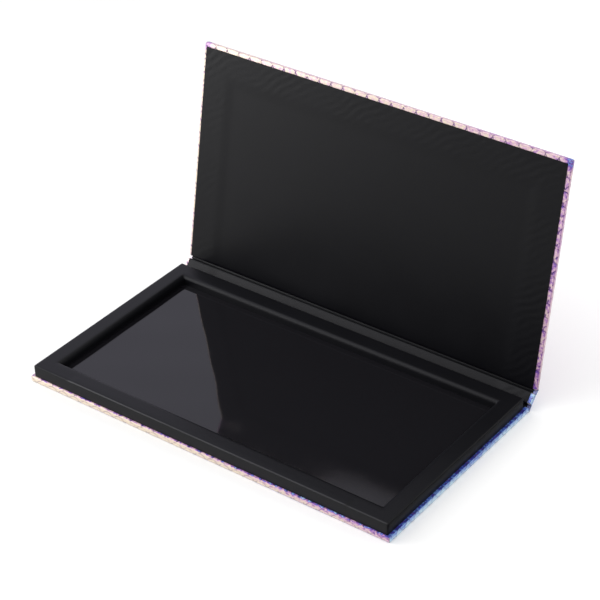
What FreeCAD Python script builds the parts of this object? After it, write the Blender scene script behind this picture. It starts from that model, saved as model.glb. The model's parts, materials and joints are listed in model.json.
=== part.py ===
"""Book-style magnetic palette: a wrapped base board that carries a shallow tray, a spine and a lid.

Millimetres, +Z up. The origin is the middle of the base's underside. X runs along the case,
+Y points to the spine. The case stands half open: spine folded back, lid leaning back.
"""
import FreeCAD
import Part
import math
import os
from FreeCAD import Vector

# Case outline
case_length = 200.0
base_depth = 111.5

# Boards and papers
base_board_thickness = 2.3
spine_board_thickness = 1.6
lid_board_thickness = 1.6
wrap_thickness = 0.25
lining_thickness = 0.2
turn_in = 13.0
lining_margin = 2.0

# Tray frame on the base: finished sizes, paper included
frame_height = 5.9
frame_paper = 0.2
frame_side_inset = 1.8
frame_front_inset = 1.05
frame_rear_inset = 2.7
side_rail_width = 8.75
front_rail_width = 9.2
rear_rail_width = 9.25
rail_edge_radius = 1.8

# Sheets on the tray's floor
floor_card_thickness = 0.9
magnet_sheet_thickness = 0.7
gloss_film_thickness = 0.2
sheet_clearance = 0.15

# Magnetic closure: a strip in the front rail and a steel keeper in the lid
closure_strip_width = 5.0
closure_strip_thickness = 1.5
closure_strip_end_margin = 21.0
closure_strip_proud = 0.12
keeper_width = 5.0
keeper_thickness = 0.5

# Paper hinges
crease_radius = 0.6
board_edge_gap = 0.45
spine_edge_clearance = 0.5
closing_clearance = 0.3

# Rest pose, in degrees up from the case lying flat open
spine_rest_angle = 46.5
lid_rest_angle = 80.0

# Levels and outlines that follow from the sizes above
half_length = case_length / 2
half_depth = base_depth / 2
lining_half_length = half_length - lining_margin
window_half_length = half_length - turn_in
base_top = 2 * wrap_thickness + base_board_thickness
base_board_rear = half_depth - board_edge_gap

frame_top = base_top + frame_height
frame_half_length = half_length - frame_side_inset
frame_front = -half_depth + frame_front_inset
frame_rear = half_depth - frame_rear_inset
recess_half_length = frame_half_length - side_rail_width
recess_front = frame_front + front_rail_width
recess_rear = frame_rear - rear_rail_width
rail_top = frame_top - frame_paper

closure_half_length = frame_half_length - closure_strip_end_margin
closure_front = frame_front + frame_paper
closure_rear = closure_front + closure_strip_width
closure_bottom = rail_top + closure_strip_proud - closure_strip_thickness
closure_top = rail_top + closure_strip_proud
closure_middle = (closure_front + closure_rear) / 2

# Each cover panel is drawn flat, with its outer face at level 0 and its hinge axis over its start
spine_inner = wrap_thickness + spine_board_thickness
lid_inner = wrap_thickness + lid_board_thickness
lid_total = lid_inner + wrap_thickness + lining_thickness
closed_thickness = frame_top + closure_strip_proud + closing_clearance + lid_total
spine_span = closed_thickness - 2 * crease_radius
spine_board_start = base_top + lining_thickness + spine_edge_clearance - crease_radius
spine_board_end = spine_span - (lid_total + spine_edge_clearance - crease_radius)
lid_depth = base_depth

# Hinge axes in the rest pose
lower_axis_y = half_depth
lower_axis_z = crease_radius
upper_axis_y = lower_axis_y + spine_span * math.cos(math.radians(spine_rest_angle))
upper_axis_z = lower_axis_z + spine_span * math.sin(math.radians(spine_rest_angle))


def block(half_x, y_range, z_range):
    """Box centred on X, between two Y and two Z levels."""
    corner = Vector(-half_x, y_range[0], z_range[0])
    return Part.makeBox(2 * half_x, y_range[1] - y_range[0], z_range[1] - z_range[0], corner)


def end_blocks(x_range, y_range, z_range):
    """The same box at the right end and at the left end."""
    width = x_range[1] - x_range[0]
    depth = y_range[1] - y_range[0]
    height = z_range[1] - z_range[0]
    right = Part.makeBox(width, depth, height, Vector(x_range[0], y_range[0], z_range[0]))
    left = Part.makeBox(width, depth, height, Vector(-x_range[1], y_range[0], z_range[0]))
    return [right, left]


def joined(first, *others):
    """One clean solid from pieces that touch or overlap."""
    return first.multiFuse(list(others)).removeSplitter()


def folded_up(shape, axis_y, axis_z, angle):
    """Turn a panel that was drawn flat about its hinge axis and carry it to that axis."""
    placed = shape.copy()
    placed.translate(Vector(0, 0, -crease_radius))
    placed.rotate(Vector(0, 0, 0), Vector(1, 0, 0), angle)
    placed.translate(Vector(0, axis_y, axis_z))
    return placed


def crease_arc(half_x, outer, inner, axis_y, axis_z, angles):
    """Curved strip of paper about a hinge axis, angles counted from straight below the axis."""

    def point(radius, angle):
        turn = math.radians(angle)
        return Vector(-half_x, axis_y + radius * math.sin(turn), axis_z - radius * math.cos(turn))

    start, end = angles
    middle = (start + end) / 2
    outer_arc = Part.Arc(point(outer, start), point(outer, middle), point(outer, end)).toShape()
    inner_arc = Part.Arc(point(inner, end), point(inner, middle), point(inner, start)).toShape()
    end_line = Part.makeLine(point(outer, end), point(inner, end))
    start_line = Part.makeLine(point(inner, start), point(outer, start))
    section = Part.Face(Part.Wire([outer_arc, end_line, inner_arc, start_line]))
    return section.extrude(Vector(2 * half_x, 0, 0))


def soft_rim(ring, half_x, y_range, level, radius):
    """Round the top edges of a ring's opening, which lies between these X and Y values."""
    tolerance = 0.01

    def on_rim(edge):
        box = edge.BoundBox
        within_x = max(-box.XMin, box.XMax) < half_x + tolerance
        within_y = box.YMin > y_range[0] - tolerance and box.YMax < y_range[1] + tolerance
        return within_x and within_y and box.ZMin > level - tolerance

    return ring.makeFillet(radius, [edge for edge in ring.Edges if on_rim(edge)])


def base_parts():
    """Base board, its wrap turned in on three sides, and the sheet that levels the turn-ins."""
    board_level = wrap_thickness + base_board_thickness
    board_half_length = half_length - wrap_thickness
    board_front = -half_depth + wrap_thickness
    board = block(board_half_length, (board_front, base_board_rear), (wrap_thickness, board_level))
    window_front = -half_depth + turn_in
    liner = block(window_half_length, (window_front, base_board_rear), (board_level, base_top))
    skirt = block(half_length, (-half_depth, base_board_rear), (0, base_top))
    underside = block(half_length, (-half_depth, half_depth), (0, wrap_thickness))
    wrap = joined(skirt, underside).cut(board).cut(liner)
    return {"base_board": board, "base_wrap": wrap, "base_liner": liner}


def tray_rails():
    """Four board rails under the frame's paper: long front and rear rails, short rails between them.

    Their top edges round the tray's opening are rounded.
    """
    levels = (base_top, rail_top)
    long_half = frame_half_length - frame_paper
    opening_half = recess_half_length + frame_paper
    front_y = (frame_front + frame_paper, recess_front - frame_paper)
    rear_y = (recess_rear + frame_paper, frame_rear - frame_paper)
    opening_y = (front_y[1], rear_y[0])
    ring = block(long_half, (front_y[0], rear_y[1]), levels)
    ring = ring.cut(block(opening_half, opening_y, levels))
    ring = soft_rim(ring, opening_half, opening_y, rail_top, rail_edge_radius)
    right, left = end_blocks((opening_half, long_half), opening_y, levels)
    stretches = {
        "front_rail": block(long_half, front_y, levels),
        "rear_rail": block(long_half, rear_y, levels),
        "right_rail": right,
        "left_rail": left,
    }
    return {name: ring.common(stretch) for name, stretch in stretches.items()}


def tray_parts():
    """Rails with the closure strip let into the front one, and the paper that covers them."""
    rails = tray_rails()
    strip = block(closure_half_length, (closure_front, closure_rear), (closure_bottom, closure_top))
    outer = block(frame_half_length, (frame_front, frame_rear), (base_top, frame_top))
    recess_y = (recess_front, recess_rear)
    recess = block(recess_half_length, recess_y, (base_top, frame_top))
    rim_radius = rail_edge_radius + frame_paper
    shell = soft_rim(outer.cut(recess), recess_half_length, recess_y, frame_top, rim_radius)
    ridge = block(
        closure_half_length + frame_paper,
        (closure_front - frame_paper, closure_rear + frame_paper),
        (rail_top, closure_top + frame_paper),
    )
    cover = joined(shell, ridge)
    for rail in rails.values():
        cover = cover.cut(rail)
    rails["front_rail"] = rails["front_rail"].cut(strip)
    return {**rails, "closure_strip": strip, "frame_wrap": cover.cut(strip)}


def floor_parts():
    """Card, magnetic sheet and gloss film stacked on the tray's floor."""
    sheet_half_length = recess_half_length - sheet_clearance
    sheet_y = (recess_front + sheet_clearance, recess_rear - sheet_clearance)
    stack = {
        "floor_card": floor_card_thickness,
        "magnet_sheet": magnet_sheet_thickness,
        "gloss_film": gloss_film_thickness,
    }
    sheets = {}
    level = base_top
    for name, thickness in stack.items():
        sheets[name] = block(sheet_half_length, sheet_y, (level, level + thickness))
        level += thickness
    return sheets


def spine_parts():
    """Spine board, the wrap across the spine and both gaps, and the lining over them, drawn flat."""
    board_y = (spine_board_start, spine_board_end)
    turned_level = spine_inner + wrap_thickness
    board = block(half_length - wrap_thickness, board_y, (wrap_thickness, spine_inner))
    window = block(window_half_length, board_y, (spine_inner, turned_level))
    outside = block(half_length, (0, spine_span), (0, wrap_thickness))
    wrap = joined(block(half_length, board_y, (0, turned_level)), outside).cut(board).cut(window)

    lined_y = (spine_board_start - lining_thickness, spine_board_end + lining_thickness)
    raised_x = (window_half_length - lining_thickness, lining_half_length)
    lining = joined(
        block(lining_half_length, (0, spine_span), (wrap_thickness, wrap_thickness + lining_thickness)),
        block(lining_half_length, lined_y, (wrap_thickness, spine_inner + lining_thickness)),
        *end_blocks(raised_x, lined_y, (wrap_thickness, turned_level + lining_thickness)),
    )
    lining = lining.cut(board).cut(wrap)
    flat = {"spine_board": board, "spine_wrap": wrap, "spine_lining": lining}
    return {
        name: folded_up(shape, lower_axis_y, lower_axis_z, spine_rest_angle)
        for name, shape in flat.items()
    }


def lid_parts():
    """Lid board with the steel keeper let in, its wrap turned in on three sides, and the lining, drawn flat."""
    board_y = (board_edge_gap, lid_depth - wrap_thickness)
    turned_level = lid_inner + wrap_thickness
    keeper_middle = half_depth - closure_middle
    keeper_y = (keeper_middle - keeper_width / 2, keeper_middle + keeper_width / 2)
    keeper = block(closure_half_length, keeper_y, (lid_inner - keeper_thickness, lid_inner))
    full_board = block(half_length - wrap_thickness, board_y, (wrap_thickness, lid_inner))
    window_y = (board_edge_gap, lid_depth - turn_in)
    window = block(window_half_length, window_y, (lid_inner, turned_level))
    outside = block(half_length, (0, lid_depth), (0, wrap_thickness))
    skirt = block(half_length, (board_edge_gap, lid_depth), (0, turned_level))
    wrap = joined(skirt, outside).cut(full_board).cut(window)

    lined_y = (board_edge_gap - lining_thickness, lid_depth - lining_margin)
    raised_levels = (wrap_thickness, turned_level + lining_thickness)
    raised_x = (window_half_length - lining_thickness, lining_half_length)
    raised_y = (lid_depth - turn_in - lining_thickness, lid_depth - lining_margin)
    lining = joined(
        block(lining_half_length, (0, board_edge_gap), (wrap_thickness, wrap_thickness + lining_thickness)),
        block(lining_half_length, lined_y, (wrap_thickness, lid_inner + lining_thickness)),
        block(lining_half_length, raised_y, raised_levels),
        *end_blocks(raised_x, lined_y, raised_levels),
    )
    lining = lining.cut(full_board).cut(wrap)
    flat = {
        "lid_board": full_board.cut(keeper),
        "lid_wrap": wrap,
        "lid_lining": lining,
        "lid_keeper": keeper,
    }
    return {
        name: folded_up(shape, upper_axis_y, upper_axis_z, lid_rest_angle)
        for name, shape in flat.items()
    }


def hinge_parts():
    """Folded strips of wrap and lining at the two creases."""
    wrap_inner = crease_radius - wrap_thickness
    lining_inner = wrap_inner - lining_thickness
    lower = (lower_axis_y, lower_axis_z, (0, spine_rest_angle))
    upper = (upper_axis_y, upper_axis_z, (spine_rest_angle, lid_rest_angle))
    lined_top = base_top + lining_thickness
    leg_rear = base_board_rear + lining_thickness
    lining_top = wrap_thickness + lining_thickness
    lower_lining = joined(
        crease_arc(lining_half_length, wrap_inner, lining_inner, *lower),
        block(lining_half_length, (base_board_rear, half_depth), (wrap_thickness, lining_top)),
        block(lining_half_length, (base_board_rear, leg_rear), (wrap_thickness, lined_top)),
        block(lining_half_length, (frame_rear, leg_rear), (base_top, lined_top)),
    )
    return {
        "lower_hinge_wrap": crease_arc(half_length, crease_radius, wrap_inner, *lower),
        "lower_hinge_lining": lower_lining,
        "upper_hinge_wrap": crease_arc(half_length, crease_radius, wrap_inner, *upper),
        "upper_hinge_lining": crease_arc(lining_half_length, wrap_inner, lining_inner, *upper),
    }


def main():
    os.makedirs("parts", exist_ok=True)
    groups = (base_parts(), tray_parts(), floor_parts(), spine_parts(), lid_parts(), hinge_parts())
    for group in groups:
        for name, shape in group.items():
            shape.exportStep(os.path.join("parts", name + ".step"))


main()
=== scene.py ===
import json
import math
from typing import NamedTuple

import bmesh
import bpy
from bpy.props import FloatProperty, FloatVectorProperty, PointerProperty
from mathutils import Matrix, Vector


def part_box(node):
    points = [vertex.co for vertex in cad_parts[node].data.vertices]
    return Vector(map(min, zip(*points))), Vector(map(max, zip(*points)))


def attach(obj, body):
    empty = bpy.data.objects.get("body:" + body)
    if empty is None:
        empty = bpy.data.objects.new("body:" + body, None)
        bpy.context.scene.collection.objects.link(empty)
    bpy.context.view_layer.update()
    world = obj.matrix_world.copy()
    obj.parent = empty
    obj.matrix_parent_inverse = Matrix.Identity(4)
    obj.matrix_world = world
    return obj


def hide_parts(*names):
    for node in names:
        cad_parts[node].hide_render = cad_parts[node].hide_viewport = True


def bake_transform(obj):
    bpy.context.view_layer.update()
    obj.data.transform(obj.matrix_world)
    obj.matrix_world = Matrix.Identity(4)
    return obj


bl_info = {
    "name": "Book-style magnetic palette",
    "version": (1, 0, 0),
    "blender": (4, 5, 0),
    "location": "3D View > Sidebar > Palette",
    "description": "Foil covers, black papers and gloss tray of a book-style magnetic palette",
    "category": "Object",
}

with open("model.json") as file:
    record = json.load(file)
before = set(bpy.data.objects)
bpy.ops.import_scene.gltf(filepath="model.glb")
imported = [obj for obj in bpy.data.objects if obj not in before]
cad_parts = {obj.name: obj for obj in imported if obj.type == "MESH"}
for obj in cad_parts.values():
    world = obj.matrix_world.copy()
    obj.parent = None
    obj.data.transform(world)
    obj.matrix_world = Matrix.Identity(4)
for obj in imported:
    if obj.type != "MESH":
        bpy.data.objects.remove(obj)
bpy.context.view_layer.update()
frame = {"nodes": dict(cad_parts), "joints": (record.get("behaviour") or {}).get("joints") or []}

MM = 0.001
TINY = 1e-6

# Half the case's length, and the width of the foil that is turned in over the boards
half_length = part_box("base_wrap")[1].x
turn_in = half_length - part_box("base_liner")[1].x

# Papers of neighbouring panels end this far from the hinge line, so that they clear when flat
END_GAP = 0.04 * MM

# Hinge axes and rest angles, counted up from the case lying flat open
joints = {joint["name"]: joint for joint in frame["joints"]}
lower_axis = Vector(joints["spine_fold"]["pos_m"])
upper_axis = Vector(joints["lid_fold"]["pos_m"])
spine_angle = -math.radians(joints["spine_fold"]["range_deg"][0])
lid_angle = spine_angle - math.radians(joints["lid_fold"]["range_deg"][0])
crease_radius = lower_axis.z


def panel_place(axis, angle):
    """Carries a panel drawn flat, hinge at y 0 and outer face at level 0, to its place."""
    lowered = Matrix.Translation((0, 0, -crease_radius))
    return Matrix.Translation(axis) @ Matrix.Rotation(angle, 4, "X") @ lowered


PLACES = {
    "base": Matrix.Translation((0, lower_axis.y, 0)) @ Matrix.Rotation(math.pi, 4, "Z"),
    "spine": panel_place(lower_axis, spine_angle),
    "lid": panel_place(upper_axis, lid_angle),
}


def flat_box(node, body):
    """Lowest and highest corner of a CAD node, measured on its panel drawn flat."""
    back = PLACES[body].inverted()
    points = [back @ vertex.co for vertex in frame["nodes"][node].data.vertices]
    low = Vector([min(point[axis] for point in points) for axis in range(3)])
    high = Vector([max(point[axis] for point in points) for axis in range(3)])
    return low, high


# Sizes and colours

# Embossed scales along half the case's length
SCALES_PER_HALF = 15


def size_property(name, description, value):
    """A length that a user can change, in metres."""
    return FloatProperty(
        name=name, description=description, default=value, subtype="DISTANCE", unit="LENGTH")


def colour_property(name, description, value):
    """A colour that a user can change, in linear red, green and blue."""
    return FloatVectorProperty(
        name=name, description=description, default=value, size=3, min=0, max=1, subtype="COLOR")


class PaletteSizes(bpy.types.PropertyGroup):
    """Sizes of the papers' folds, relief and edges."""

    edge_radius: size_property(
        "Edge radius", "Radius of the foil paper round a board's edge", 0.40 * MM)
    corner_radius: size_property(
        "Corner radius", "Radius of a cover's corners, seen flat", 0.9 * MM)
    foil_paper: size_property(
        "Foil paper", "Thickness of the foil-faced paper", 0.17 * MM)
    scale_pitch: size_property(
        "Scale pitch", "Size of one embossed scale", half_length / SCALES_PER_HALF)
    scale_depth: size_property(
        "Scale depth", "Rise of an embossed scale from its root to its rim", 0.13 * MM)
    frame_radius: size_property(
        "Frame radius", "Radius of the paper over the tray frame's outer edges", 0.65 * MM)
    rim_radius: size_property(
        "Rim radius", "Radius of the paper over the edges round the tray's opening", 2.1 * MM)
    frame_slack: size_property(
        "Frame slack", "How far the frame's paper stands off its rails", 0.10 * MM)
    lining_step: size_property(
        "Lining step", "Width of the ramp where the lining climbs on the turned-in foil", 7.0 * MM)
    ripple_pitch: size_property(
        "Ripple pitch", "Spacing of the ripples that show through the lining", 3.6 * MM)
    ripple_height: size_property(
        "Ripple height", "Height of the ripples that show through the lining", 0.032 * MM)
    film_curl: size_property(
        "Film curl", "How far the gloss film's front edge curls up", 0.20 * MM)
    film_border: size_property(
        "Film border", "Width of the border in which the film curls up", 14.0 * MM)
    film_wave: size_property(
        "Film wave", "Height of the gloss film's slow waves", 0.05 * MM)


class PaletteColours(bpy.types.PropertyGroup):
    """Colours of the foil's play of light and of the plain materials."""

    cream: colour_property("Cream", "Palest colour of the foil", (0.84, 0.71, 0.56))
    blush: colour_property("Blush", "Pale pink of the foil", (0.78, 0.54, 0.61))
    lilac: colour_property("Lilac", "Pink lilac of the foil", (0.54, 0.28, 0.56))
    violet: colour_property("Violet", "Violet of the foil", (0.17, 0.06, 0.40))
    blue: colour_property("Blue", "Blue of the foil", (0.13, 0.24, 0.70))
    ice: colour_property("Ice", "Pale blue of the foil", (0.55, 0.76, 0.92))
    groove: colour_property("Groove", "Tint of the creases between the scales", (0.15, 0.07, 0.30))
    lining: colour_property("Lining", "Black lining paper", (0.0034, 0.0034, 0.0046))
    frame_paper: colour_property("Frame paper", "Black paper on the frame", (0.0042, 0.0042, 0.0056))
    film: colour_property("Film", "Gloss black film", (0.0068, 0.0064, 0.0082))
    dust: colour_property("Dust", "Specks of dust on the film", (0.06, 0.06, 0.062))
    board: colour_property("Board", "Dense grey board", (0.36, 0.34, 0.31))
    magnet: colour_property("Magnet", "Flexible magnet sheet", (0.050, 0.042, 0.038))
    steel: colour_property("Steel", "Tinned steel strip", (0.56, 0.56, 0.57))
    floor: colour_property("Floor", "Pale floor under the palette", (0.80, 0.80, 0.80))


def sizes():
    """The sizes that a user can change."""
    return bpy.context.scene.palette_sizes


def colours():
    """The colours that a user can change."""
    return bpy.context.scene.palette_colours


# Shader maths


class Shade:
    """One socket of a shader. Arithmetic with it adds Math nodes to its tree."""

    def __init__(self, tree, socket=None):
        self.tree = tree
        self.socket = socket

    def add(self, kind, settings=None, inputs=None, output=0):
        """Any node: its type, its settings, set first, and the values or links of its sockets."""
        node = self.tree.nodes.new(kind)
        for key, value in (settings or {}).items():
            if key == "stops":
                fill_ramp(node.color_ramp, value)
            else:
                setattr(node, key, value)
        for key, value in (inputs or {}).items():
            if isinstance(value, Shade):
                self.tree.links.new(value.socket, node.inputs[key])
            else:
                node.inputs[key].default_value = value
        socket = node.outputs[output] if node.outputs else None
        return Shade(self.tree, socket)

    def maths(self, operation, *values):
        """A Math node on these values."""
        return self.add("ShaderNodeMath", {"operation": operation}, dict(enumerate(values)))

    def __add__(self, other):
        return self.maths("ADD", self, other)

    __radd__ = __add__

    def __sub__(self, other):
        return self.maths("SUBTRACT", self, other)

    def __rsub__(self, other):
        return self.maths("SUBTRACT", other, self)

    def __mul__(self, other):
        return self.maths("MULTIPLY", self, other)

    __rmul__ = __mul__

    def __truediv__(self, other):
        return self.maths("DIVIDE", self, other)

    def __pow__(self, power):
        return self.maths("POWER", self, power)

    def __abs__(self):
        return self.maths("ABSOLUTE", self)

    def __floor__(self):
        return self.maths("FLOOR", self)

    def mix(self, first, second):
        """Blend of two colours, with this socket as the share of the second."""
        inputs = {0: self, 6: first, 7: second}
        return self.add("ShaderNodeMix", {"data_type": "RGBA"}, inputs, output=2)

    def times(self, other):
        """Product of two colours."""
        settings = {"data_type": "RGBA", "blend_type": "MULTIPLY"}
        return self.add("ShaderNodeMix", settings, {0: 1.0, 6: self, 7: other}, output=2)

    def ramp(self, stops):
        """Colour from a ramp of (place, colour) stops."""
        return self.add("ShaderNodeValToRGB", {"stops": stops}, {0: self})

    def parts(self):
        """The three values of a vector."""
        node = self.add("ShaderNodeSeparateXYZ", inputs={0: self}).socket.node
        return [Shade(self.tree, socket) for socket in node.outputs]

    def noise(self, size, detail=2.0, roughness=0.5):
        """Cloudy value from 0 to 1, with patches of about this size, at this place."""
        inputs = {"Vector": self, "Scale": 1 / size, "Detail": detail, "Roughness": roughness}
        return self.add("ShaderNodeTexNoise", inputs=inputs)

    def bump(self, depth, strength=1.0):
        """Surface direction from this height, where 1 stands this far above 0."""
        inputs = {"Strength": strength, "Distance": depth, "Height": self}
        return self.add("ShaderNodeBump", inputs=inputs)


def fill_ramp(ramp, stops):
    """Give a colour ramp these (place, colour) stops."""
    while len(ramp.elements) < len(stops):
        ramp.elements.new(1.0)
    for element, (place, colour) in zip(ramp.elements, stops):
        element.position = place
        element.color = opaque(colour)


def sine(value):
    """Sine of a number or of a socket."""
    return value.maths("SINE", value) if isinstance(value, Shade) else math.sin(value)


def smaller(first, second):
    """The smaller of two numbers, or of a socket and another value."""
    return first.maths("MINIMUM", first, second) if isinstance(first, Shade) else min(first, second)


def smooth(value, low, high):
    """0 below low, 1 above high and a smooth rise between, of a number or of a socket."""
    if isinstance(value, Shade):
        inputs = {0: value, 1: low, 2: high}
        return value.add("ShaderNodeMapRange", {"interpolation_type": "SMOOTHSTEP"}, inputs)
    share = min(1.0, max(0.0, (value - low) / (high - low)))
    return share * share * (3 - 2 * share)


def swing(value, width):
    """A value from 0 to 1 as a swing of this width about 0."""
    return (value - 0.5) * width


def opaque(colour):
    """A colour with full alpha."""
    return (*colour, 1.0)


def scaled(colour, share):
    """A darker or lighter copy of a colour."""
    return tuple(part * share for part in colour)


def new_material(name):
    """An empty material, as a starting point for its nodes."""
    material = bpy.data.materials.new(name)
    material.use_nodes = True
    material.node_tree.nodes.clear()
    return material, Shade(material.node_tree)


def close_material(start, **inputs):
    """End a material in the standard shader with these sockets."""
    named = {key.replace("_", " "): value for key, value in inputs.items()}
    shader = start.add("ShaderNodeBsdfPrincipled", inputs=named)
    start.add("ShaderNodeOutputMaterial", inputs={"Surface": shader})


def object_place(start, matrix=None):
    """Object coordinates, measured in the frame that the matrix places."""
    place = start.add("ShaderNodeTexCoord", output=3)
    if matrix is None:
        return place
    inputs = {"Vector": place, "Location": matrix.translation, "Rotation": matrix.to_euler()}
    return start.add("ShaderNodeMapping", {"vector_type": "TEXTURE"}, inputs)


# Embossed foil

# Rows of scales stand half a scale apart, and a scale reaches half a scale from its middle
ROW_SPACING = 0.5
SCALE_REACH = 0.5

# Blur of a scale's rim, in scales, in the relief and in the look
RELIEF_BLUR = 0.12
LOOK_BLUR = 0.004

# Sizes of the foil's clouds of colour, of its flecks and of its fine crinkles
CLOUD_SIZE = 46 * MM
FLECK_SIZE = 1.7 * MM
CRINKLE_SIZE = 1.1 * MM

# How far each of these swings the foil along its run of colours
CLOUD_SWING = 0.34
TONE_SWING = 0.10
RELIEF_SWING = 0.16
CRINKLE_SWING = 0.24
MARGIN_FLECK_SWING = 0.9

# On the covers' outside: a shift along the run of colours, and what is added to two swings
OUTSIDE_SHIFT = 0.16
OUTSIDE_CLOUD_SWING = 0.9
OUTSIDE_TONE_SWING = 0.2


class FoilLook(NamedTuple):
    """Where a cover's foil stands in its run of colours, from cream at 0 to pale blue near 1."""

    start: float  # in the cover's middle
    drift: float  # added at the right end and taken away at the left end
    right_edge: float  # added on the right-hand edge
    right_rise: float = 0.0  # added at the top of that edge
    foot_painted_reflection: float = 0.0  # painted reflection: taken away at the foot of the other edges, shifting their foot's colour as a reflection would
    edge_flecks: float = 0.0  # swing of the flecks on the other edges
    edge_drift: float = 0.0  # added at the right end of the other edges
    margin: float = 0.0  # added on the turned-in margin
    right_margin: float = 0.0  # added where the margin runs along the right
    fold_margin: float = 0.0  # added where the margin is near the fold
    margin_painted_shadow: float = 0.0  # painted shadow: how far the frame's shadow darkens the right-hand margin with blue
    corner: float = 0.0  # added at the two far corners


FOIL_LOOKS = {
    "base": FoilLook(
        start=0.12, drift=0.15, right_edge=0.71, right_rise=-0.22, foot_painted_reflection=0.52,
        edge_flecks=0.9, edge_drift=0.30, margin=0.32, right_margin=0.17, margin_painted_shadow=0.8),
    "spine": FoilLook(start=0.34, drift=0.25, right_edge=0.26, margin=0.06, right_margin=0.20),
    "lid": FoilLook(
        start=0.10, drift=0.14, right_edge=-0.08, right_rise=0.14, foot_painted_reflection=-0.20,
        edge_flecks=0.15, right_margin=0.08, fold_margin=0.10, corner=0.42),
}


def foil_scales(across, along, blur):
    """Overlapping round scales at a place on the flat sheet, counted in scales.

    Gives the height, 0 at a scale's root and 1 at its tip, how near the place is to a rim,
    and the scale's column and row. Takes numbers, for the mesh, or sockets, for the material.
    """
    row = math.floor(along / ROW_SPACING)
    rise = along - row * ROW_SPACING
    shift = row / 2 - math.floor(row / 2)
    column = math.floor(across + shift)
    sideways = across + shift - column - 0.5
    next_column = math.floor(across + 0.5 - shift)
    next_sideways = across - shift - next_column
    reach = (sideways * sideways + rise * rise) ** 0.5
    under = smooth(reach, SCALE_REACH - blur, SCALE_REACH + blur)
    height = rise + ROW_SPACING - under * ROW_SPACING
    climb = rise + ROW_SPACING
    tip_reach = (next_sideways * next_sideways + climb * climb) ** 0.5
    tip = 1 - smooth(tip_reach, SCALE_REACH - blur, SCALE_REACH + blur)
    height = height + tip * (rise + 1 - height)
    rim = smaller(abs(reach - SCALE_REACH), abs(tip_reach - SCALE_REACH))
    column = column + under * (next_column - column)
    return height, rim, column, row + under


def foil_run(palette):
    """Stops of the foil's run of colours."""
    return [
        (0.00, palette.cream),
        (0.24, palette.blush),
        (0.42, palette.lilac),
        (0.60, palette.violet),
        (0.78, palette.blue),
        (0.96, palette.ice),
    ]


def foil_material(body):
    """Embossed foil paper whose colour drifts from cream through pink and violet to blue."""
    look = FOIL_LOOKS[body]
    palette = colours()
    pitch = sizes().scale_pitch
    far_end, thickness = flat_box(body + "_wrap", body)[1].yz
    material, start = new_material("foil_" + body)
    x, away, level = object_place(start, PLACES[body]).parts()
    # The base is drawn turned round, so its right-hand side is at negative x
    x = 0 - x if body == "base" else x
    flat = start.add("ShaderNodeAttribute", {"attribute_name": "flat"}, output=1)
    across, along = flat.parts()[:2]
    height, rim, column, row = foil_scales(across / pitch, along / pitch, LOOK_BLUR)
    cell = start.add("ShaderNodeCombineXYZ", inputs={0: column, 1: row})
    tone = start.add("ShaderNodeTexWhiteNoise", {"noise_dimensions": "2D"}, {"Vector": cell})
    cloud = flat.noise(CLOUD_SIZE, detail=1.0)
    crinkle = flat.noise(CRINKLE_SIZE, detail=3.0, roughness=0.6)
    fleck = flat.noise(FLECK_SIZE, detail=2.0)

    # Edges all round and on the right, the outside, the turned-in margin and the far corners
    share = level / thickness
    edge = smooth(share, 0.02, 0.2)
    right = smooth(x, half_length - 0.5 * MM, half_length - 0.2 * MM)
    other_edge = edge * (1 - right)
    outside = (1 - edge) * (1 - right)
    margin = smooth(level, thickness - 0.30 * MM, thickness - 0.10 * MM)
    fold_margin = margin * (1 - smooth(away, 10 * MM, 32 * MM))
    right_margin = margin * smooth(x, half_length - 3 * MM, half_length - 2 * MM)
    corner = smooth(abs(x), half_length - 6 * MM, half_length - 2 * MM)
    corner = corner * smooth(away, far_end - 6 * MM, far_end - 2 * MM)

    # Place in the run of colours
    phase = x * (look.drift / half_length) + look.start + swing(cloud, CLOUD_SWING)
    phase = phase + right * (look.right_edge + share * look.right_rise)
    # Painted reflection: the foot of the other edges is shifted in colour as the reflected floor
    # would show it
    phase = phase + other_edge * ((share - 1) * look.foot_painted_reflection + swing(fleck, look.edge_flecks))
    phase = phase + other_edge * (1 - margin) * x * (look.edge_drift / half_length)
    phase = phase + margin * (look.margin + swing(fleck, MARGIN_FLECK_SWING))
    phase = phase + fold_margin * look.fold_margin + right_margin * look.right_margin
    phase = phase + corner * look.corner + swing(tone, TONE_SWING)
    phase = phase + swing(height, RELIEF_SWING) + swing(crinkle, CRINKLE_SWING)
    own_swing = swing(cloud, OUTSIDE_CLOUD_SWING) + swing(tone, OUTSIDE_TONE_SWING)
    phase = phase + outside * (OUTSIDE_SHIFT + own_swing)

    # Dark grooves, painted glints, a line of painted shade near the foot of the edges and a painted
    # shadow on the right-hand margin
    groove = (1 - smooth(rim, 0.018, 0.065)) * smooth(fleck, 0.34, 0.52)
    groove_share = groove * (0.9 - edge * (1 - margin) * 0.4)
    # Painted glint: the peaks of the crinkles are painted paler, and are also made more metallic and
    # smoother
    painted_glint = smooth(crinkle, 0.60, 0.78)
    # Painted shade: a darker grey-blue line near the foot of the edges, where the paper turns under
    painted_foot_shade = smooth(share, 0.06, 0.10) * (1 - smooth(share, 0.12, 0.22))
    colour = phase.ramp(foil_run(palette))
    colour = groove_share.mix(colour, colour.times(opaque(palette.groove)))
    colour = (painted_glint * 0.35).mix(colour, opaque(palette.cream))
    colour = (painted_foot_shade * 0.45).mix(colour, opaque(scaled(palette.ice, 0.5)))
    # Painted shadow: the frame's shadow on the right-hand margin, painted as a darker blue
    painted_frame_shadow = right_margin * look.margin_painted_shadow
    colour = painted_frame_shadow.mix(colour, colour.times(opaque(palette.blue)))
    close_material(
        start,
        Base_Color=colour,
        Metallic=0.15 + painted_glint * 0.3 + outside * 0.4,
        Roughness=0.24 + groove * 0.2 - painted_glint * 0.08,
        Normal=(height - groove * 0.25 + crinkle * 0.16).bump(0.16 * MM, 0.8),
        Coat_Weight=0.2,
        Coat_Roughness=0.14,
    )
    return material


# Black papers, film, boards and metal


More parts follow.
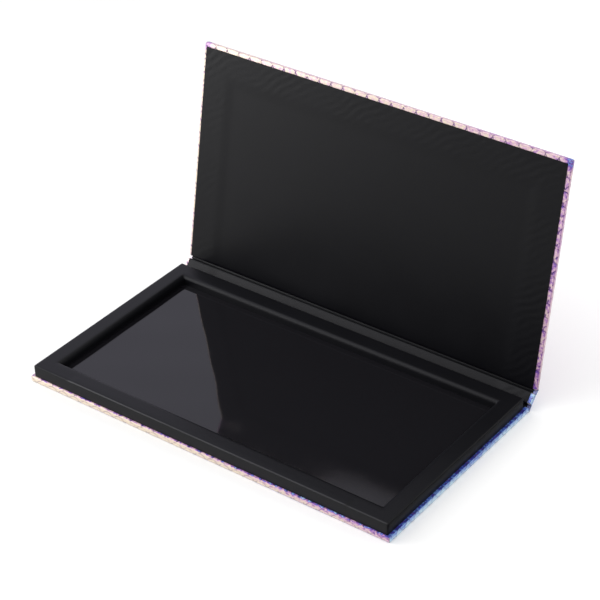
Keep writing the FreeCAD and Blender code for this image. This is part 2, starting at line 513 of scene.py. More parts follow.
def black_paper(name, colour, gloss, roughness, grain_depth):
    """Black paper: a fine grain, cloudy sheen, a few pale fibres and edges rubbed to a shine."""
    material, start = new_material(name)
    worn = start.add("ShaderNodeAttribute", {"attribute_name": "worn"}, output=2)
    place = object_place(start)
    grain = place.noise(0.35 * MM, detail=3.0, roughness=0.6)
    cloud = place.noise(24 * MM, detail=2.0)
    fibre = smooth(place.noise(1.6 * MM, detail=4.0, roughness=0.7), 0.70, 0.80)
    shade = cloud.mix(opaque(scaled(colour, 0.82)), opaque(scaled(colour, 1.2)))
    shade = (fibre * 0.25).mix(shade, opaque(scaled(colour, 2.6)))
    close_material(
        start,
        Base_Color=shade,
        Roughness=roughness + swing(cloud, 0.10) + swing(grain, 0.12),
        Coat_Weight=worn * (0.25 + cloud * 0.35),
        Coat_Roughness=0.30,
        Specular_IOR_Level=gloss,
        Normal=grain.bump(grain_depth, 0.6),
    )
    return material


def film_material():
    """Gloss black film with faint smears, specks of dust and a haze towards its front right."""
    palette = colours()
    material, start = new_material("gloss_film")
    place = object_place(start)
    x, y = place.parts()[:2]
    smear = smooth(place.noise(18 * MM, detail=3.0, roughness=0.6), 0.48, 0.75)
    dust = smooth(place.noise(0.8 * MM, detail=1.0), 0.80, 0.86)
    haze = smooth(x, 0.45 * half_length, 0.70 * half_length)
    haze = haze * smooth(0 - y, 0.2 * half_length, 0.4 * half_length)
    close_material(
        start,
        Base_Color=(dust * 0.35).mix(opaque(palette.film), opaque(palette.dust)),
        Roughness=0.04 + smear * 0.03 + dust * 0.2 + haze * 0.12,
        Specular_IOR_Level=0.35,
        Normal=place.noise(9 * MM, detail=1.0).bump(0.006 * MM, 0.4),
    )
    return material


def board_material():
    """Dense grey board: pressed fibres and darker flecks."""
    colour = colours().board
    material, start = new_material("grey_board")
    place = object_place(start)
    pulp = place.noise(1.4 * MM, detail=4.0, roughness=0.65)
    fleck = smooth(place.noise(0.5 * MM, detail=2.0), 0.66, 0.78)
    shade = pulp.mix(opaque(scaled(colour, 0.72)), opaque(scaled(colour, 1.22)))
    close_material(
        start,
        Base_Color=(fleck * 0.6).mix(shade, opaque(scaled(colour, 0.4))),
        Roughness=0.86 + pulp * 0.1,
        Normal=pulp.bump(0.03 * MM, 0.7),
    )
    return material


def magnet_material():
    """Dark flexible magnet sheet: fine calender lines and a dusty bloom."""
    colour = colours().magnet
    line_pitch = 0.8 * MM
    material, start = new_material("magnet_rubber")
    place = object_place(start)
    x = place.parts()[0]
    line = sine(x * (2 * math.pi / line_pitch)) * 0.5 + 0.5
    bloom = place.noise(6 * MM, detail=3.0)
    close_material(
        start,
        Base_Color=bloom.mix(opaque(scaled(colour, 0.7)), opaque(scaled(colour, 1.6))),
        Roughness=0.6 + bloom * 0.2,
        Normal=line.bump(0.01 * MM, 0.5),
    )
    return material


def steel_material():
    """Thin tinned steel: fine rolling lines along its length."""
    colour = colours().steel
    material, start = new_material("tinned_steel")
    place = object_place(start)
    stretched = start.add("ShaderNodeMapping", inputs={"Vector": place, "Scale": (0.04, 1.0, 1.0)})
    line = stretched.noise(0.25 * MM, detail=3.0)
    close_material(
        start,
        Base_Color=line.mix(opaque(scaled(colour, 0.8)), opaque(scaled(colour, 1.1))),
        Metallic=1.0,
        Roughness=0.3 + line * 0.2,
        Normal=line.bump(0.004 * MM),
    )
    return material


# Mesh helpers

# Faces that meet at a sharper angle than this keep a hard edge
SHARP_ANGLE = math.radians(38)

# Share of the room over its board that a black paper fills, so that it clears what it covers
PAPER_SHARE = 0.9


def stations(marks, step):
    """The marks, with each stretch between them divided evenly at about this step."""
    places = [marks[0]]
    for low, high in zip(marks, marks[1:]):
        count = max(1, round((high - low) / step))
        places += [low + (high - low) * (k + 1) / count for k in range(count)]
    return places


def ruled_sheet(xs, rows):
    """Sheet with a vertex at each x of each row; a row is a (y, level) pair."""
    sheet = bmesh.new()
    columns = len(xs) - 1
    lines = len(rows) - 1
    bmesh.ops.create_grid(sheet, x_segments=columns, y_segments=lines, size=0.5)
    for vertex in sheet.verts:
        column = round((vertex.co.x + 0.5) * columns)
        line = round((vertex.co.y + 0.5) * lines)
        vertex.co = (xs[column], *rows[line])
    sheet.normal_update()
    return sheet


def extruded_edges(sheet, edges):
    """Extrude a row of edges and give the new vertices and the new row."""
    made = bmesh.ops.extrude_edge_only(sheet, edges=edges)["geom"]
    vertices = {part for part in made if isinstance(part, bmesh.types.BMVert)}
    new_edges = [part for part in made if isinstance(part, bmesh.types.BMEdge)]
    return vertices, [edge for edge in new_edges if vertices.issuperset(edge.verts)]


def face_outwards(sheet, direction, counts=lambda face: True):
    """Turn all faces one way, so that those that count look along the direction."""
    bmesh.ops.recalc_face_normals(sheet, faces=sheet.faces)
    sheet.normal_update()
    counted = [face for face in sheet.faces if counts(face)]
    if sum(face.normal.dot(direction) * face.calc_area() for face in counted) < 0:
        bmesh.ops.reverse_faces(sheet, faces=sheet.faces)
    sheet.normal_update()


def add_piece(name, sheet, material, node):
    """Make an object of a finished mesh, standing for this CAD node."""
    data = bpy.data.meshes.new(name)
    sheet.to_mesh(data)
    sheet.free()
    data.shade_smooth()
    data.set_sharp_from_angle(angle=SHARP_ANGLE)
    data.materials.append(material)
    piece = bpy.data.objects.new(name, data)
    bpy.context.scene.collection.objects.link(piece)
    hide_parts(node)
    return piece


# Foil covers

# Width over which the turned-in foil climbs from the gap beside a board onto the board
BOARD_RAMP = 0.3 * MM

# Rows of the turned-in foil, measured from the cover's edge
TURN_IN_ROWS = (1.2 * MM, 2.4 * MM, turn_in)

# Steps of a cover's mesh along one embossed scale
STEPS_PER_SCALE = 9


def edge_section(radius, height):
    """Section of the paper round a board's edge, as (overhang past the flat, level) pairs."""
    bend = min(radius, height / 2)
    inset = radius - bend
    top = height - bend
    turns = [math.radians(angle) for angle in (30, 60, 90)]
    lower = [(inset + bend * math.sin(turn), bend - bend * math.cos(turn)) for turn in turns]
    wall = [(radius, height / 2), (radius, top)]
    upper = [(inset + bend * math.cos(turn), top + bend * math.sin(turn)) for turn in turns]
    return lower + wall + upper


def foil_cover(body, closed_end):
    """Foil paper round one board: flat outside, round the edges and turned in on the inside."""
    wrap_high = flat_box(body + "_wrap", body)[1]
    board_low, board_high = flat_box(body + "_board", body)
    radius = sizes().edge_radius
    reach = wrap_high.y if closed_end else wrap_high.y - END_GAP
    flat_half = half_length - radius
    flat_end = reach - radius if closed_end else reach
    marks = [END_GAP, board_low.y - BOARD_RAMP / 2, board_low.y + BOARD_RAMP]
    if closed_end:
        marks += [flat_end]
    else:
        marks += [board_high.y - BOARD_RAMP, board_high.y + BOARD_RAMP / 2, reach]
    step = sizes().scale_pitch / STEPS_PER_SCALE
    xs = stations([-flat_half, flat_half], step)
    sheet = ruled_sheet(xs, [(y, 0) for y in stations(marks, step)])
    home = sheet.verts.layers.float_vector.new("home")
    flat = sheet.verts.layers.float_vector.new("flat")
    for vertex in sheet.verts:
        vertex[home] = vertex.co
        vertex[flat] = vertex.co

    def height(y):
        """Level of the turned-in paper: on the board, or down on the outer sheet beside it."""
        on_board = smooth(y, marks[1], marks[2])
        if not closed_end:
            on_board *= 1 - smooth(y, marks[3], marks[4])
        low = 2 * sizes().foil_paper
        return low + (wrap_high.z - low) * on_board

    def outward(place):
        """Direction in which the paper leaves the flat at this place of its border."""
        side = math.copysign(1, place.x) if abs(place.x) > flat_half - TINY else 0
        end = 1 if closed_end and place.y > flat_end - TINY else 0
        return Vector((side, end, 0))

    def move(vertex, target):
        """Move a vertex and carry its place on the flat sheet along."""
        distance = (target - vertex.co).length
        vertex[flat] = vertex[flat] + outward(vertex[home]) * distance
        vertex.co = target

    row = [
        edge for edge in sheet.edges
        if edge.is_boundary and outward(edge.verts[0].co).dot(outward(edge.verts[1].co)) > 0
    ]
    for step_index in range(len(edge_section(radius, wrap_high.z))):
        vertices, row = extruded_edges(sheet, row)
        for vertex in vertices:
            overhang, level = edge_section(radius, height(vertex[home].y))[step_index]
            target = vertex[home] + outward(vertex[home]) * overhang
            target.z = level
            move(vertex, target)
    for inset in TURN_IN_ROWS:
        vertices, row = extruded_edges(sheet, row)
        for vertex in vertices:
            limit = half_length - inset
            x = min(limit, max(-limit, vertex.co.x))
            y = min(vertex.co.y, reach - inset) if closed_end else vertex.co.y
            move(vertex, Vector((x, y, vertex.co.z)))
    bmesh.ops.remove_doubles(sheet, verts=sheet.verts, dist=2 * TINY)
    face_outwards(sheet, Vector((0, 0, -1)), lambda face: face.calc_center_median().z < TINY)
    emboss(sheet, flat)
    if closed_end:
        round_corners(sheet, reach)
    bmesh.ops.solidify(sheet, geom=sheet.faces[:], thickness=sizes().foil_paper)
    sheet.verts.layers.float_vector.remove(sheet.verts.layers.float_vector["home"])
    bmesh.ops.transform(sheet, matrix=PLACES[body], verts=sheet.verts)
    return sheet


def emboss(sheet, flat):
    """Press the scales into the sheet."""
    pitch = sizes().scale_pitch
    depth = sizes().scale_depth
    pressed = []
    for vertex in sheet.verts:
        height = foil_scales(vertex[flat].x / pitch, vertex[flat].y / pitch, RELIEF_BLUR)[0]
        pressed.append(vertex.co - vertex.normal * depth * (1 - height))
    for vertex, place in zip(sheet.verts, pressed):
        vertex.co = place


def round_corners(sheet, reach):
    """Round the two far corners of a cover, seen flat."""
    radius = sizes().corner_radius
    for vertex in sheet.verts:
        side = abs(vertex.co.x) - (half_length - radius)
        end = vertex.co.y - (reach - radius)
        if side > 0 and end > 0:
            share = max(side, end) / math.hypot(side, end)
            vertex.co.x = math.copysign(half_length - radius + side * share, vertex.co.x)
            vertex.co.y = reach - radius + end * share


class PALETTE_OT_foil_covers(bpy.types.Operator):
    """Foil paper round the base, the spine and the lid"""

    bl_idname = "palette.foil_covers"
    bl_label = "Foil covers"

    def execute(self, context):
        for body in FOIL_LOOKS:
            sheet = foil_cover(body, closed_end=body != "spine")
            material = foil_material(body)
            piece = add_piece(body + "_foil", sheet, material, body + "_wrap")
            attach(piece, body)
        return {"FINISHED"}


# Creases

# Step of a crease's mesh along the hinge line, and its steps round the bend
CREASE_STEP = 2.0 * MM
CREASE_TURNS = 8

# Hinge axis, angles at the start and the end of the bend, and the two bodies that it joins
CREASES = {
    "lower": (lower_axis, (0.0, spine_angle), ("base", "spine")),
    "upper": (upper_axis, (spine_angle, lid_angle), ("spine", "lid")),
}


def crease_rows(axis, radius, angles):
    """Rows of a strip round a hinge axis, angles counted from straight below it."""
    first, last = angles
    turns = [first + (last - first) * k / CREASE_TURNS for k in range(CREASE_TURNS + 1)]
    return [(axis.y + radius * math.sin(turn), axis.z - radius * math.cos(turn)) for turn in turns]


def inward(angle):
    """Direction to the inside of the case, from a panel that is turned up by this angle."""
    return Vector((0, -math.sin(angle), math.cos(angle)))


class PALETTE_OT_foil_creases(bpy.types.Operator):
    """Foil paper folded round the two hinge lines"""

    bl_idname = "palette.foil_creases"
    bl_label = "Foil creases"

    def execute(self, context):
        material = bpy.data.materials["foil_spine"]
        for name, (axis, angles, bodies) in CREASES.items():
            xs = stations([-half_length, half_length], CREASE_STEP)
            rows = crease_rows(axis, crease_radius, angles)
            sheet = ruled_sheet(xs, rows)
            flat = sheet.verts.layers.float_vector.new("flat")
            for vertex in sheet.verts:
                vertex[flat] = Vector((vertex.co.x, (vertex.co.yz - Vector(rows[0])).length, 0))
            face_outwards(sheet, -inward(angles[1]))
            bmesh.ops.solidify(sheet, geom=sheet.faces[:], thickness=sizes().foil_paper)
            node = name + "_hinge_wrap"
            piece = add_piece(name + "_foil_crease", sheet, material, node)
            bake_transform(piece)
        return {"FINISHED"}


# Tray

# Step of the frame paper's mesh
FRAME_STEP = 1.3 * MM

# Degrees between the rows of vertices on the round rim of the tray's opening
RIM_TURN = 15

# Width over which the paper climbs onto the closure strip: at its right end, and elsewhere
RIDGE_RAMP = 0.22 * MM
RIDGE_SOFT_RAMP = 2.5 * MM

# An edge of the frame stands upright if it rises more than this, and is a corner past this angle
UPRIGHT_RISE = 1 * MM
CORNER_ANGLE = 0.5
CORNER_SEGMENTS = 4

# Share of the frame's edge radius that is rubbed to a shine
WORN_SHARE = 0.65

# Steps of the gloss film's mesh, and the lengths and starts of its slow waves
FILM_STEP_X = 1.5 * MM
FILM_STEP_Y = 1.2 * MM
WAVE_X = 9 * MM
WAVE_Y = 6.4 * MM
WAVE_X_START = 4.44
WAVE_Y_START = 1.57


class PALETTE_OT_tray_frame(bpy.types.Operator):
    """Black paper over the tray's frame, with the closure strip showing through at the front"""

    bl_idname = "palette.tray_frame"
    bl_label = "Tray frame"

    def execute(self, context):
        low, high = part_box("frame_wrap")
        slack = sizes().frame_slack
        radius = sizes().rim_radius
        paper = high.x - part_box("front_rail")[1].x + slack
        ridge_top = high.z + slack
        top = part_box("rear_rail")[1].z + paper
        outer_x = high.x + slack
        outer_y = (low.y - slack, high.y + slack)
        recess_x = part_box("right_rail")[0].x - paper
        recess_y = (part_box("front_rail")[1].y + paper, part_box("rear_rail")[0].y - paper)
        strip_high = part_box("closure_strip")[1]
        strip_x = strip_high.x + paper
        strip_rear = strip_high.y + paper

        turns = [math.radians(angle) for angle in range(90, -1, -RIM_TURN)]
        rim_steps = [radius * (1 - math.sin(turn)) for turn in turns]
        rim_right = [recess_x + step for step in rim_steps]
        rim_front = [recess_y[0] - step for step in reversed(rim_steps)]
        rim_rear = [recess_y[1] + step for step in rim_steps]
        right_marks = [strip_x - RIDGE_RAMP, strip_x, *rim_right, outer_x]
        x_marks = [-mark for mark in reversed(right_marks)] + right_marks
        strip_marks = [outer_y[0], strip_rear - RIDGE_SOFT_RAMP, strip_rear]
        y_marks = [*strip_marks, *rim_front, *rim_rear, outer_y[1]]
        rows = [(y, top) for y in stations(y_marks, FRAME_STEP)]
        sheet = ruled_sheet(stations(x_marks, FRAME_STEP), rows)

        def from_recess(place):
            """Distance from the tray's opening, square to its sides; negative inside it."""
            return max(abs(place.x) - recess_x, recess_y[0] - place.y, place.y - recess_y[1])

        inside = [face for face in sheet.faces if from_recess(face.calc_center_median()) < 0]
        bmesh.ops.delete(sheet, geom=inside, context="FACES")
        for vertex in sheet.verts:
            x, y = vertex.co.xy
            ridge = smooth(x, -strip_x, RIDGE_SOFT_RAMP - strip_x)
            ridge -= smooth(x, strip_x - RIDGE_RAMP, strip_x)
            ridge *= 1 - smooth(y, strip_rear - RIDGE_SOFT_RAMP, strip_rear)
            bend = max(0, radius - max(0, from_recess(vertex.co)))
            drop = radius - math.sqrt(radius * radius - bend * bend)
            vertex.co.z += (ridge_top - top) * ridge - drop
        rim = [edge for edge in sheet.edges if edge.is_boundary]
        outer_rim = [edge for edge in rim if from_recess(edge.verts[0].co) > radius]
        for vertex in extruded_edges(sheet, rim)[0]:
            vertex.co.z = low.z
        sheet.normal_update()
        corners = [
            edge for edge in sheet.edges
            if from_recess(edge.verts[0].co) > radius and self.is_corner(edge)
        ]
        bmesh.ops.bevel(
            sheet, geom=outer_rim + corners, offset=sizes().frame_radius, offset_type="OFFSET",
            segments=CORNER_SEGMENTS, profile=0.5, affect="EDGES", material=-1)

        # The rear edge is rubbed, and the front edge from the closure strip's left end on
        edge_zone = WORN_SHARE * sizes().frame_radius
        worn = sheet.verts.layers.float.new("worn")
        for vertex in sheet.verts:
            x, y, z = vertex.co
            from_front = y - outer_y[0] if x > -strip_x else edge_zone
            inset = min(from_front, outer_y[1] - y)
            vertex[worn] = inset < edge_zone and top - z < edge_zone
        face_outwards(sheet, Vector((0, 0, 1)), lambda face: face.calc_center_median().z > top - TINY)
        bmesh.ops.solidify(sheet, geom=sheet.faces[:], thickness=PAPER_SHARE * paper)
        material = black_paper(
            "frame_paper", colours().frame_paper, gloss=0.175, roughness=0.40, grain_depth=0.02 * MM)
        piece = add_piece("tray_frame_paper", sheet, material, "frame_wrap")
        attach(piece, "base")
        return {"FINISHED"}

    def is_corner(self, edge):
        """Whether an edge stands upright where two walls meet."""
        rise = abs(edge.verts[0].co.z - edge.verts[1].co.z)
        if rise <= UPRIGHT_RISE:
            return False
        first, second = edge.link_faces
        return first.normal.angle(second.normal, 0) > CORNER_ANGLE


class PALETTE_OT_gloss_film(bpy.types.Operator):
    """Gloss black film on the tray's floor, not quite flat, as a glued film lies"""

    bl_idname = "palette.gloss_film"
    bl_label = "Gloss film"

    def execute(self, context):
        low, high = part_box("gloss_film")
        curl = sizes().film_curl
        border = sizes().film_border
        xs = stations([low.x, high.x], FILM_STEP_X)
        ys = stations([low.y, low.y + border, high.y], FILM_STEP_Y)
        level = high.z - curl / 2
        sheet = ruled_sheet(xs, [(y, level) for y in ys])
        bottom = bmesh.ops.extrude_face_region(sheet, geom=sheet.faces[:])["geom"]
        lowered = {part for part in bottom if isinstance(part, bmesh.types.BMVert)}
        for vertex in sheet.verts:
            x, y = vertex.co.xy
            if vertex in lowered:
                vertex.co.z = low.z
                continue
            # The front border curls up most just right of the middle, and waves lie on the left
            front = max(0, 1 - (y - low.y) / border) ** 2
            held_left = 0.4 * smooth(-x, -0.2 * high.x, 0.1 * high.x)
            held_right = 1.15 * smooth(x, 0.58 * high.x, 0.90 * high.x)
            waviness = sizes().film_wave * (1 - smooth(x, -0.1 * high.x, 0.3 * high.x))
            wave = sine(x / WAVE_X + WAVE_X_START) * sine(y / WAVE_Y + WAVE_Y_START)
            vertex.co.z += curl * front * (1 - held_left - held_right) + waviness * wave * (1 - front)
        face_outwards(
            sheet, Vector((0, 0, 1)), lambda face: face.calc_center_median().z > low.z + TINY)
        piece = add_piece("tray_gloss_film", sheet, film_material(), "gloss_film")
        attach(piece, "base")
        return {"FINISHED"}


# Linings

# Mesh steps over the turned-in foil, over the plain board and across the spine
BAND_STEP = 0.55 * MM
PLAIN_STEP = 0.9 * MM
SPINE_STEP = 0.6 * MM

# How far the lining of lid and spine reaches past its left border in the CAD
LEFT_OVERLAP = 0.9 * MM

# Slope of the ripples' lines across the board
RIPPLE_SLOPE = 0.75

# Lining up a board's edge, as (run from the edge, rise) pairs: above its foot and below its top
CLIMB_FOOT = ((-0.04 * MM, 0.08 * MM), (0, 0.30 * MM))
CLIMB_HEAD = ((0, -0.35 * MM), (0.09 * MM, -0.12 * MM), (0.35 * MM, 0))

# The same down the base board's rear edge, below its top and above its foot
LEDGE_HEAD = ((-0.30 * MM, 0), (-0.08 * MM, -0.10 * MM), (0, -0.35 * MM))
LEDGE_FOOT = ((0, 0.30 * MM), (0.05 * MM, 0.08 * MM), (0.12 * MM, 0))

# Loose roll of lining in the fold between spine and lid, as (run, rise) pairs
FOLD_ROLL = (
    (0.08 * MM, 0), (0.90 * MM, 0.28 * MM), (1.02 * MM, 0.32 * MM), (1.10 * MM, 0.33 * MM),
    (1.34 * MM, 0.33 * MM), (1.42 * MM, 0.32 * MM), (1.94 * MM, 0), (2.0 * MM, 0))

# The spine's flat rows end this far from its board in the gap, and from the climb on the board
GAP_INSET = 0.3 * MM
BOARD_INSET = 0.4 * MM

# Foil and lining paper together, where they fold
FOLD_PAPERS = 0.45 * MM


def lining_ripple(x, y):
    """Wavy, broken ripples at a place on the flat lining, from -1 to 1."""
    stretch = math.hypot(1, RIPPLE_SLOPE)
    across = (y - RIPPLE_SLOPE * x) / stretch
    along = (x + RIPPLE_SLOPE * y) / stretch
    bend = sine(along / (5.1 * MM)) * 1.1 + sine(along / (2.3 * MM) + across / (7 * MM)) * 0.7
    dash = sine(along / (1.3 * MM) + across / (2.9 * MM)) + sine(across / (4.3 * MM))
    strength = 0.3 + 0.7 * smooth(dash, -0.8, 1.0)
    return sine(across * 2 * math.pi / sizes().ripple_pitch + bend) * strength


def lining_sheet(body, rows, raised_end):
    """Lining paper over a board: a sheet on these rows that climbs where the foil is turned in."""
    low, high = flat_box(body + "_lining", body)
    board_high = flat_box(body + "_board", body)[1]
    paper = high.z - flat_box(body + "_wrap", body)[1].z
    climb = high.z - board_high.z - paper
    ramp = sizes().lining_step
    inner = half_length - turn_in
    left_border = stations([low.x - LEFT_OVERLAP, -inner], BAND_STEP)
    middle = stations([-inner, inner], PLAIN_STEP)
    right_border = stations([inner, high.x], BAND_STEP)
    sheet = ruled_sheet(left_border + middle[1:-1] + right_border, rows)
    board_level = board_high.z + paper
    for vertex in sheet.verts:
        x, y, level = vertex.co
        on_board = smooth(level, board_level - 0.5 * MM, board_level)
        side = smooth(abs(x), inner - ramp, inner)
        end = smooth(y, raised_end - ramp, raised_end) if raised_end else 0
        band = max(side, end)
        ripple = lining_ripple(x, y) * (0.7 + 0.3 * end)
        ripple *= 1 + smooth(x, 0.1 * half_length, half_length)
        vertex.co.z += (climb + sizes().ripple_height * ripple) * band * on_board
    face_outwards(sheet, Vector((0, 0, 1)))
    bmesh.ops.solidify(sheet, geom=sheet.faces[:], thickness=PAPER_SHARE * paper)
    bmesh.ops.transform(sheet, matrix=PLACES[body], verts=sheet.verts)
    return sheet


def climb_rows(edge, floor, top, inwards):
    """Rows of lining from a gap's floor up a board's edge; inwards is 1 or -1 along y."""
    rises = [(run, floor + rise) for run, rise in CLIMB_FOOT]
    rises += [(run, top + rise) for run, rise in CLIMB_HEAD]
    return [(edge + inwards * run, level) for run, level in rises]


class PALETTE_OT_linings(bpy.types.Operator):
    """Black lining paper inside the lid and the spine"""

    bl_idname = "palette.linings"
    bl_label = "Linings"

    def execute(self, context):
        material = black_paper(
            "lining_paper", colours().lining, gloss=0.16, roughness=0.37, grain_depth=0.012 * MM)
        panels = {"lid": self.lid_rows(), "spine": self.spine_rows()}
        for body, (rows, raised_end) in panels.items():
            sheet = lining_sheet(body, rows, raised_end)
            node = body + "_lining"
            piece = add_piece(body + "_lining_paper", sheet, material, node)
            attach(piece, body)
        return {"FINISHED"}

    def lid_rows(self):
        """Rows of the lid's lining, up the board's hinge edge and flat on, and its raised end."""
        low, high = flat_box("lid_lining", "lid")
        board_low, board_high = flat_box("lid_board", "lid")
        wrap_high = flat_box("lid_wrap", "lid")[1]
        paper = high.z - wrap_high.z
        floor = low.z + paper
        top = board_high.z + paper
        edge = board_low.y - paper
        raised_end = wrap_high.y - turn_in
        rows = [(END_GAP, floor), (0.5 * edge, floor), *climb_rows(edge, floor, top, 1)]
        plain = stations([rows[-1][0], raised_end], PLAIN_STEP)
        border = stations([raised_end, high.y], BAND_STEP)
        rows += [(y, top) for y in plain[1:] + border[1:]]
        return rows, raised_end

    def spine_rows(self):
        """Rows of the spine's lining, down in both gaps and up over the board; no raised end."""
        low, high = flat_box("spine_lining", "spine")
        board_low, board_high = flat_box("spine_board", "spine")
        paper = high.z - flat_box("spine_wrap", "spine")[1].z
        floor = low.z + paper
        top = board_high.z + paper
        first = board_low.y - paper
        last = board_high.y + paper
        up = climb_rows(first, floor, top, 1)
        down = climb_rows(last, floor, top, -1)[::-1]
        gap = stations([END_GAP, first - GAP_INSET], SPINE_STEP)
        board = stations([up[-1][0] + BOARD_INSET, down[0][0] - BOARD_INSET], SPINE_STEP)
        share = (high.y - END_GAP - last) / FOLD_ROLL[-1][0]
        roll = [(last + run * share, floor + rise) for run, rise in FOLD_ROLL]
        rows = [(y, floor) for y in gap] + up + [(y, top) for y in board] + down + roll
        return rows, None


class PALETTE_OT_lining_creases(bpy.types.Operator):
    """Black lining paper folded along the two hinge lines"""

    bl_idname = "palette.lining_creases"
    bl_label = "Lining creases"

    def execute(self, context):
        material = bpy.data.materials["lining_paper"]
        low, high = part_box("lower_hinge_lining")
        paper = high.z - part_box("base_wrap")[1].z
        xs = stations([-high.x, high.x], CREASE_STEP)
        for name, (axis, angles, bodies) in CREASES.items():
            rows = crease_rows(axis, crease_radius - FOLD_PAPERS, angles)
            bend_start = rows[0]
            if name == "lower":
                rows = self.ledge_rows(low.y, high.z, paper, bend_start[1]) + rows
            sheet = ruled_sheet(xs, rows)
            face_outwards(sheet, inward(angles[1]))
            bmesh.ops.solidify(sheet, geom=sheet.faces[:], thickness=PAPER_SHARE * paper)
            node = name + "_hinge_lining"
            piece = add_piece(name + "_lining_crease", sheet, material, node)
            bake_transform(piece)
        return {"FINISHED"}

    def ledge_rows(self, front, top, paper, foot):
        """Rows from the tray's back over the base board's rear edge and down to the fold."""
        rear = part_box("base_board")[1].y + paper
        rows = [(front, top)]
        rows += [(rear + run, top + rise) for run, rise in LEDGE_HEAD]
        rows += [(rear + run, foot + rise) for run, rise in LEDGE_FOOT]
        return rows


# Inside


class PALETTE_OT_inner_boards(bpy.types.Operator):
    """Finishes of the boards, rails, magnets and steel inside the papers"""

    bl_idname = "palette.inner_boards"
    bl_label = "Inner boards"

    def execute(self, context):
        finishes = {
            board_material(): (
                "base_board", "front_rail", "rear_rail", "left_rail", "right_rail",
                "floor_card", "spine_board", "lid_board"),
            bpy.data.materials["lining_paper"]: ("base_liner",),
            magnet_material(): ("magnet_sheet", "closure_strip"),
            steel_material(): ("lid_keeper",),
        }
        for material, nodes in finishes.items():
            for node in nodes:
                slots = frame["nodes"][node].data.materials
                slots.clear()
                slots.append(material)
        return {"FINISHED"}


# Stage

CAMERA_PLACE = (0.4596, -0.5960, 0.5473)
CAMERA_TURN = math.radians(36.78)
CAMERA_DIP = math.radians(33.335)
CAMERA_ROLL = math.radians(-0.877)
CAMERA_LENS = 122.42
CAMERA_SENSOR = 36.0

# Place, size and power of each lamp
LAMPS = {
    "main_lamp": ((-0.65, -0.45, 1.03), 1.2, 4.4),
    "side_lamp": ((-0.50, -0.30, 0.17), 0.50, 2.2),
}

FLOOR_REACH = 6.0
FLOOR_DROP = 0.03 * MM

# Glow of the floor to the eye: at the front left, what is added at the rear right, and where
FRONT_GLOW = 0.08
REAR_GLOW = 0.22
GLOW_RISE = (-0.15, 0.20)

# Painted dark reflection: floor that reflections see darker, beside the base's right side: its start
# in x, its end in y
DARK_START = (101 * MM, 106 * MM)
DARK_END = (75 * MM, 100 * MM)
DARK_SHARE = 0.08

# Light of the sky, what is taken away low at the front, and its colour on the left in reflections
SKY_LIGHT = 0.90
FRONT_LOSS = 0.74
SKY_COLOUR = (1, 1, 1)
LEFT_SKY_COLOUR = (0.975, 0.955, 1.12)


def rays(start, kind):
    """1 for light rays of this kind, such as Camera or Glossy, and 0 for others."""
    return start.add("ShaderNodeLightPath", output=f"Is {kind} Ray")


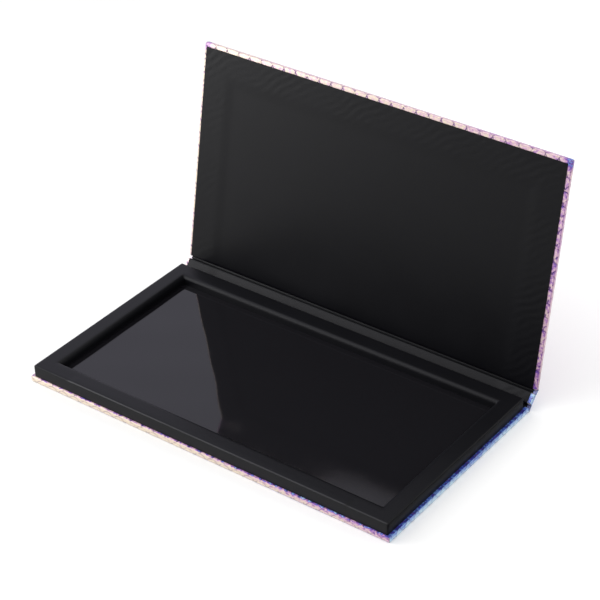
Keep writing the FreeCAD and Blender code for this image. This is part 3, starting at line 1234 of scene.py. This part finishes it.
class PALETTE_OT_stage(bpy.types.Operator):
    """White floor, soft studio light and the camera"""

    bl_idname = "palette.stage"
    bl_label = "Stage"

    def execute(self, context):
        context.scene.view_settings.view_transform = "Standard"
        self.floor(context)
        self.world(context)
        for name, (place, size, power) in LAMPS.items():
            self.lamp(context, name, place, size, power)
        self.camera(context)
        return {"FINISHED"}

    def floor(self, context):
        """White floor that glows to the eye, with a painted dark reflection: reflections see it
        darker beside the base.
        """
        sheet = bmesh.new()
        bmesh.ops.create_grid(sheet, x_segments=1, y_segments=1, size=FLOOR_REACH)
        bmesh.ops.translate(sheet, vec=(0, 0, -FLOOR_DROP), verts=sheet.verts)
        data = bpy.data.meshes.new("floor")
        sheet.to_mesh(data)
        sheet.free()
        floor = bpy.data.objects.new("floor", data)
        context.scene.collection.objects.link(floor)
        colour = colours().floor
        material, start = new_material("floor")
        x, y = object_place(start).parts()[:2]
        glossy = rays(start, "Glossy")
        # Painted dark reflection: glossy rays see this strip of floor dark, so nearby walls mirror
        # shade
        painted_dark_reflection = glossy * smooth(x, *DARK_START) * (1 - smooth(y, *DARK_END))
        shade = painted_dark_reflection.mix(opaque(colour), opaque(scaled(colour, DARK_SHARE)))
        paper = start.add("ShaderNodeBsdfDiffuse", inputs={"Color": shade})
        seen = smaller(rays(start, "Camera") + glossy + rays(start, "Transmission"), 1.0)
        glow_share = FRONT_GLOW + smooth(x * 0.8 + y * 0.6, *GLOW_RISE) * REAR_GLOW
        strength = seen * (1 - painted_dark_reflection) * glow_share
        glow = start.add("ShaderNodeEmission", inputs={"Color": (1, 1, 1, 1), "Strength": strength})
        both = start.add("ShaderNodeAddShader", inputs={0: paper, 1: glow})
        start.add("ShaderNodeOutputMaterial", inputs={"Surface": both})
        data.materials.append(material)

    def world(self, context):
        """White sky, darker low at the front, and a little bluer on the left in reflections."""
        world = bpy.data.worlds.new("studio")
        world.use_nodes = True
        world.node_tree.nodes.clear()
        start = Shade(world.node_tree)
        x, y, z = object_place(start).parts()
        front = smooth(0 - y - x * 0.3, 0.0, 0.75) * (1 - smooth(z, 0.15, 0.50))
        strength = SKY_LIGHT - front * FRONT_LOSS
        strength = strength + rays(start, "Camera") * (1 - strength)
        left = rays(start, "Glossy") * smooth(0 - x, 0.1, 0.6)
        colour = left.mix(opaque(SKY_COLOUR), opaque(LEFT_SKY_COLOUR))
        sky = start.add("ShaderNodeBackground", inputs={"Color": colour, "Strength": strength})
        start.add("ShaderNodeOutputWorld", inputs={"Surface": sky})
        context.scene.world = world

    def lamp(self, context, name, place, size, power):
        """Soft round lamp that looks at the palette."""
        data = bpy.data.lights.new(name, "AREA")
        data.shape = "DISK"
        data.size = size
        data.energy = power
        lamp = bpy.data.objects.new(name, data)
        lamp.location = place
        lamp.rotation_euler = (-Vector(place)).to_track_quat("-Z", "Y").to_euler()
        context.scene.collection.objects.link(lamp)

    def camera(self, context):
        """Camera at the photograph's viewing angle."""
        data = bpy.data.cameras.new("camera")
        data.lens = CAMERA_LENS
        data.sensor_width = CAMERA_SENSOR
        camera = bpy.data.objects.new("camera", data)
        turn = Matrix.Rotation(CAMERA_TURN, 4, "Z")
        dip = Matrix.Rotation(math.pi / 2 - CAMERA_DIP, 4, "X")
        roll = Matrix.Rotation(CAMERA_ROLL, 4, "Z")
        camera.matrix_world = Matrix.Translation(CAMERA_PLACE) @ turn @ dip @ roll
        context.scene.collection.objects.link(camera)
        context.scene.camera = camera


class PALETTE_PT_pieces(bpy.types.Panel):
    """The palette's pieces, in the order they are made"""

    bl_label = "Magnetic palette"
    bl_idname = "PALETTE_PT_pieces"
    bl_space_type = "VIEW_3D"
    bl_region_type = "UI"
    bl_category = "Palette"

    def draw(self, context):
        for operator in OPERATORS:
            self.layout.operator(operator.bl_idname)


OPERATORS = (
    PALETTE_OT_foil_covers,
    PALETTE_OT_foil_creases,
    PALETTE_OT_tray_frame,
    PALETTE_OT_gloss_film,
    PALETTE_OT_linings,
    PALETTE_OT_lining_creases,
    PALETTE_OT_inner_boards,
    PALETTE_OT_stage,
)
CLASSES = (PaletteSizes, PaletteColours, *OPERATORS, PALETTE_PT_pieces)


def register():
    for cls in CLASSES:
        bpy.utils.register_class(cls)
    bpy.types.Scene.palette_sizes = PointerProperty(type=PaletteSizes)
    bpy.types.Scene.palette_colours = PointerProperty(type=PaletteColours)


def unregister():
    del bpy.types.Scene.palette_colours
    del bpy.types.Scene.palette_sizes
    for cls in reversed(CLASSES):
        bpy.utils.unregister_class(cls)


def main():
    register()
    bpy.ops.palette.foil_covers()
    bpy.ops.palette.foil_creases()
    bpy.ops.palette.tray_frame()
    bpy.ops.palette.gloss_film()
    bpy.ops.palette.linings()
    bpy.ops.palette.lining_creases()
    bpy.ops.palette.inner_boards()
    bpy.ops.palette.stage()


if __name__ == "__main__":
    main()
